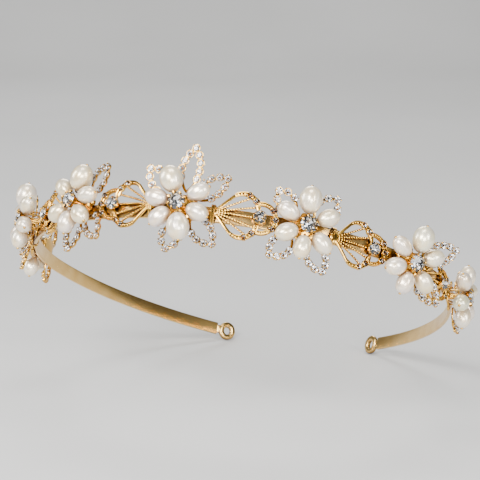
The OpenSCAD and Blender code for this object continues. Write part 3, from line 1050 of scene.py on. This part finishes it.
def tie_path(up, grow):
    """Corners of a tie round the strip and a connector's knot: (across, out of the strip)."""
    low = min(-BAND_W / 2, up - KNOT_R) - TIE_GAP - grow
    high = max(BAND_W / 2, up + KNOT_R) + TIE_GAP + grow
    side, back = KNOT_R + TIE_GAP + grow, -(BAND_T + TIE_GAP + grow)
    return [(up - side, TIE_TOP + grow), (up + side, TIE_TOP + grow), (high, TIE_SHOULDER),
            (high, back), (low, back), (low, TIE_SHOULDER)]


def softened(corners):
    """A closed outline with each corner cut off twice, like the bends of a wire."""
    for share in (0.12, 0.3):
        corners = np.asarray(corners, float)
        nxt = np.roll(corners, -1, 0)
        near, far = corners * (1 - share) + nxt * share, corners * share + nxt * (1 - share)
        corners = np.stack([near, far], 1).reshape(-1, 2)
    return corners


def make_wires():
    piece = Piece()
    for flower in FLOWERS:
        for turn, kind in pearls(flower):
            piece.add(pearl_wire(kind), on_flower(flower) @ at_pearl(turn, kind))
    for _, place in CONNECTORS:
        middle = place * FLOWER_PITCH
        loop = softened(tie_path(lift(middle), TIE_T / 2))
        path = [(0.0, up, out) for up, out in loop]
        strand = wire(path, STRAND_R, closed=True)
        for tie_at in TIE_PLACES:
            base = on_band(middle + math.copysign(1, middle) * tie_at)
            for off in (-STRAND_OFF, STRAND_OFF):
                piece.add(strand, base @ shift(off))
    stand_in(piece.build("fixing_wires_drawn", [WIRE_GOLD]), "fixing_wires")


# ---- stage, camera and light ----

CAMERA_TURN, CAMERA_LIFT = 17.0, 14.4      # degrees round the object and above the horizon
CAMERA_AIM = Vector((-1.88, 55.0, -20.71)) * MM
CAMERA_REACH = 427.2 * MM
CAMERA_LENS, CAMERA_SENSOR = 110.2, 36.0

SKY_COLOUR, SKY_STRENGTH = (0.85, 0.91, 1.0, 1.0), 0.1
# name, degrees round the object and above the horizon, then distance, width and height in metres,
# and power in watts
SOFTBOXES = (
    ("key", -12, 34, 0.7, 0.26, 0.2, 8),
    ("front", 24, 17, 1.0, 0.45, 0.22, 9),
    ("side", -75, 25, 0.8, 0.15, 0.4, 4),
    ("fill", 62, 22, 0.8, 0.15, 0.4, 5),
    ("top", 10, 82, 0.8, 0.4, 0.25, 4),
    ("rim", 200, 35, 1.0, 0.5, 0.3, 4),
)

def make_stage():
    """One pale sheet: a floor that curves up into a backdrop."""
    floor_z = cad_box[0].z
    near, far, bend, high, half = -1.2, 0.75, 0.45, 1.4, 1.6    # metres
    profile = [(near, floor_z)]
    for turn in np.radians(np.linspace(0, 90, 13)):
        profile.append((far + bend * math.sin(turn), floor_z + bend * (1 - math.cos(turn))))
    profile.append((far + bend, high))
    points = [(x, y, z) for y, z in profile for x in (-half, half)]
    faces = [[2 * i, 2 * i + 1, 2 * i + 3, 2 * i + 2] for i in range(len(profile) - 1)]
    mesh = bpy.data.meshes.new("backdrop")
    mesh.from_pydata(points, [], faces)
    mesh.shade_smooth()
    material, tree, shader, coords = node_kit("pale_paper")
    paper = ramp(tree, noise(tree, coords, scale=6), PAPER_TINTS)
    tree.links.new(paper, shader.inputs["Base Color"])
    shader.inputs["Roughness"].default_value = 0.85
    mesh.materials.append(material)
    backdrop = bpy.data.objects.new("backdrop", mesh)
    bpy.context.scene.collection.objects.link(backdrop)
    backdrop.matrix_world = Matrix.Rotation(math.radians(CAMERA_TURN), 4, "Z")


def toward(turn, up):
    """Unit vector from the object, turn degrees round from the front and up degrees above."""
    a, e = math.radians(turn), math.radians(up)
    return Vector((math.sin(a) * math.cos(e), -math.cos(a) * math.cos(e), math.sin(e)))


def look_from(obj, direction, reach):
    obj.location = CAMERA_AIM + direction * reach
    obj.rotation_euler = direction.to_track_quat("Z", "Y").to_euler()


def make_camera():
    data = bpy.data.cameras.new("camera")
    data.lens, data.sensor_width = CAMERA_LENS, CAMERA_SENSOR
    data.clip_start, data.clip_end = 0.01, 20
    camera = bpy.data.objects.new("camera", data)
    bpy.context.scene.collection.objects.link(camera)
    look_from(camera, toward(CAMERA_TURN, CAMERA_LIFT), CAMERA_REACH)
    bpy.context.scene.camera = camera


def softbox(name, turn, up, reach, width, height, power):
    data = bpy.data.lights.new(name, "AREA")
    data.shape, data.size, data.size_y = "RECTANGLE", width, height
    data.energy = power
    light = bpy.data.objects.new(name, data)
    bpy.context.scene.collection.objects.link(light)
    look_from(light, toward(turn, up), reach)


def make_light():
    world = bpy.data.worlds.new("studio")
    bpy.context.scene.world = world
    world.use_nodes = True
    background = world.node_tree.nodes["Background"]
    background.inputs["Color"].default_value = SKY_COLOUR
    background.inputs["Strength"].default_value = SKY_STRENGTH
    for box in SOFTBOXES:
        softbox(*box)


make_headband()
for flower in FLOWERS:
    make_plate(flower)
    make_pearls(flower)
    make_petals(flower)
    make_setting(flower)
    make_crystal(flower)
for connector in CONNECTORS:
    make_connector(*connector)
make_wires()
make_stage()
make_camera()
make_light()
